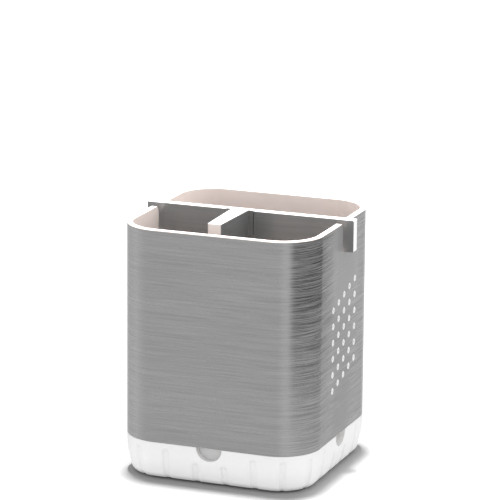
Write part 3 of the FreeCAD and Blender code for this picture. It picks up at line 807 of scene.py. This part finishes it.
def make_world():
    """Even white light; what shiny surfaces mirror differs gently with the direction."""
    world = bpy.data.worlds.new("studio")
    bpy.context.scene.world = world
    tree = Tree(world)
    x, y, z = tree.axes(tree.add("ShaderNodeTexCoord").outputs["Generated"])
    azimuth = tree.math("ARCTAN2", x, tree.product(y, -1.0))
    ramp = tree.add("ShaderNodeValToRGB", {0: tree.remap(azimuth, -math.pi, math.pi, 0.0, 1.0)})
    ramp.color_ramp.interpolation = "EASE"
    stops = ramp.color_ramp.elements
    for index, (degrees, level) in enumerate(MIRRORED_LIGHT):
        place = (degrees + 180) / 360
        stop = stops[index] if index < 2 else stops.new(place)
        stop.position = place
        stop.color = grey(level)
    overhead = tree.remap(z, 0.15, 0.75, 0.0, 1.0, smooth=True)
    mirrored = tree.blend(overhead, ramp.outputs["Color"], grey(LIGHT_TOP))
    glossy = tree.add("ShaderNodeLightPath").outputs["Is Glossy Ray"]
    colour = tree.blend(glossy, grey(SOFT_LIGHT), mirrored)
    background = tree.nodes["Background"]
    tree.link(colour, background.inputs["Color"])
    background.inputs["Strength"].default_value = 1.0
    # The light depends on the kind of ray, so it isn't sampled like a lamp
    world.cycles.sampling_method = "NONE"


def floor_white():
    """Matt white that glows a little to the camera, away from the object and at its right.

    The lamps' light falls off away from the object, and the glow at its right is painted light
    that makes its shadow faint there.
    """
    material, tree, inputs = new_material("floor_white")
    inputs["Base Color"].default_value = grey(0.30)
    inputs["Roughness"].default_value = 1.0
    inputs["Specular IOR Level"].default_value = 0.0
    inputs["Emission Color"].default_value = grey(1.0)
    place = tree.position()
    across = tree.axes(place)[0]
    distance = tree.vector_math("LENGTH", place)
    far_glow = tree.remap(distance, 0.12, 0.90, 0.0, 0.75)
    # Painted light: a glow that lightens the object's shadow on the floor at its right
    shadow_lightening_glow = tree.remap(across, 38 * MM, 62 * MM, 0.0, 0.42, smooth=True)
    seen = tree.add("ShaderNodeLightPath").outputs["Is Camera Ray"]
    glow = tree.product(tree.math("ADD", far_glow, shadow_lightening_glow), seen)
    tree.link(glow, inputs["Emission Strength"])
    material.cycles.emission_sampling = "NONE"
    return material


def make_floor():
    """A plain pale floor, a broad disc, that shiny surfaces don't mirror."""
    work = bmesh.new()
    bmesh.ops.create_circle(work, cap_ends=True, segments=96, radius=FLOOR_RADIUS)
    floor = add_built("floor", work)
    floor.data.materials.append(floor_white())
    floor.visible_glossy = False


def flag_card(name, turn):
    """A dark glow on a clear card, soft at its front and back and stronger higher up."""
    material = bpy.data.materials.new(name)
    tree = Tree(material)
    tree.nodes.clear()
    _, y, z = tree.axes(tree.position())
    along = tree.product(y, math.cos(turn))
    front = tree.remap(along, -75 * MM, -52 * MM, 0.0, 1.0, smooth=True)
    back = tree.remap(along, -2 * MM, 20 * MM, 1.0, 0.0, smooth=True)
    rise = tree.remap(z, 15 * MM, 90 * MM, 0.12, 0.95)
    cover = tree.product(front, back, rise)
    clear = tree.add("ShaderNodeBsdfTransparent").outputs[0]
    dark = tree.add("ShaderNodeEmission", {"Color": grey(0.05), "Strength": 1.0}).outputs[0]
    mixed = tree.add("ShaderNodeMixShader", {0: cover, 1: clear, 2: dark}).outputs[0]
    output = tree.add("ShaderNodeOutputMaterial", {"Surface": mixed})
    output.is_active_output = True
    material.cycles.emission_sampling = "NONE"
    return material


def make_flag(name, turn):
    """A dark card beside the right front corner, or the left rear one when turned half round.

    It is seen only as the steel mirrors it.
    """
    work = bmesh.new()
    corners = [
        (FLAG_ASIDE, FLAG_FRONT, 0), (FLAG_ASIDE, FLAG_BACK, 0),
        (FLAG_ASIDE, FLAG_BACK, FLAG_HEIGHT), (FLAG_ASIDE, FLAG_FRONT, FLAG_HEIGHT),
    ]
    work.faces.new([work.verts.new(corner) for corner in corners])
    work.transform(Matrix.Rotation(turn, 4, "Z"))
    flag = add_built(name, work)
    flag.data.materials.append(flag_card(f"{name}_card", turn))
    for ray in ("camera", "diffuse", "transmission", "volume_scatter", "shadow"):
        setattr(flag, f"visible_{ray}", False)


def make_lamp(name, place, size, energy):
    """A round soft lamp aimed at the object, which shiny surfaces don't mirror."""
    light = bpy.data.lights.new(name, "AREA")
    light.shape = "DISK"
    light.size = size
    light.energy = energy
    lamp = bpy.data.objects.new(name, light)
    bpy.context.scene.collection.objects.link(lamp)
    lamp.location = Vector(place)
    aim = LAMP_AIM - lamp.location
    lamp.rotation_euler = aim.to_track_quat("-Z", "Y").to_euler()
    lamp.visible_glossy = False


def make_lamps():
    """A lamp high overhead, a little behind, and broad weak ones in front and at the right."""
    make_lamp("overhead", (-0.08, 0.11, 3.00), 0.22, 240.0)
    make_lamp("front_fill", (-0.35, -1.35, 0.10), 0.6, 2.8)
    make_lamp("right_fill", (1.35, 0.30, 0.50), 1.0, 4.5)


# ---------------------------------------------------------------- camera

# The camera stands off the object's middle at the ledge's height, in this direction; sensor and
# lens are in millimetres
CAMERA_AZIMUTH = math.radians(21.08)
CAMERA_ELEVATION = math.radians(16.99)
CAMERA_DISTANCE = 1.4466
CAMERA_ROLL = math.radians(0.498)
AIM_ASIDE = 1.15 * MM
AIM_HEIGHT = 98.97 * MM
SENSOR_WIDTH = 36.0
LENS_LENGTH = 226.4184


def make_camera():
    """The camera, aimed above the object's middle and rolled a little."""
    data = bpy.data.cameras.new("camera")
    camera = bpy.data.objects.new("camera", data)
    bpy.context.scene.collection.objects.link(camera)
    bpy.context.scene.camera = camera
    level = math.cos(CAMERA_ELEVATION)
    back = Vector((
        math.sin(CAMERA_AZIMUTH) * level,
        -math.cos(CAMERA_AZIMUTH) * level,
        math.sin(CAMERA_ELEVATION),
    ))
    aside = Vector((math.cos(CAMERA_AZIMUTH), math.sin(CAMERA_AZIMUTH), 0))
    place = Vector((0, 0, LEDGE)) + back * CAMERA_DISTANCE
    aim = aside * AIM_ASIDE + Vector((0, 0, AIM_HEIGHT))
    forward = (aim - place).normalized()
    right = forward.cross(Vector((0, 0, 1))).normalized()
    up = right.cross(forward)
    turned_right = right * math.cos(CAMERA_ROLL) + up * math.sin(CAMERA_ROLL)
    turned_up = up * math.cos(CAMERA_ROLL) - right * math.sin(CAMERA_ROLL)
    axes = Matrix((turned_right, turned_up, -forward)).transposed()
    camera.matrix_world = Matrix.Translation(place) @ axes.to_4x4()
    data.sensor_width = SENSOR_WIDTH
    data.lens = LENS_LENGTH
    data.clip_start = 0.01
    data.clip_end = 60.0
    data.dof.use_dof = False


# ---------------------------------------------------------------- the scene

bpy.context.scene.view_settings.view_transform = "Standard"
make_pieces()
make_world()
make_floor()
make_flag("flag_right", 0.0)
make_flag("flag_left", math.pi)
make_lamps()
make_camera()
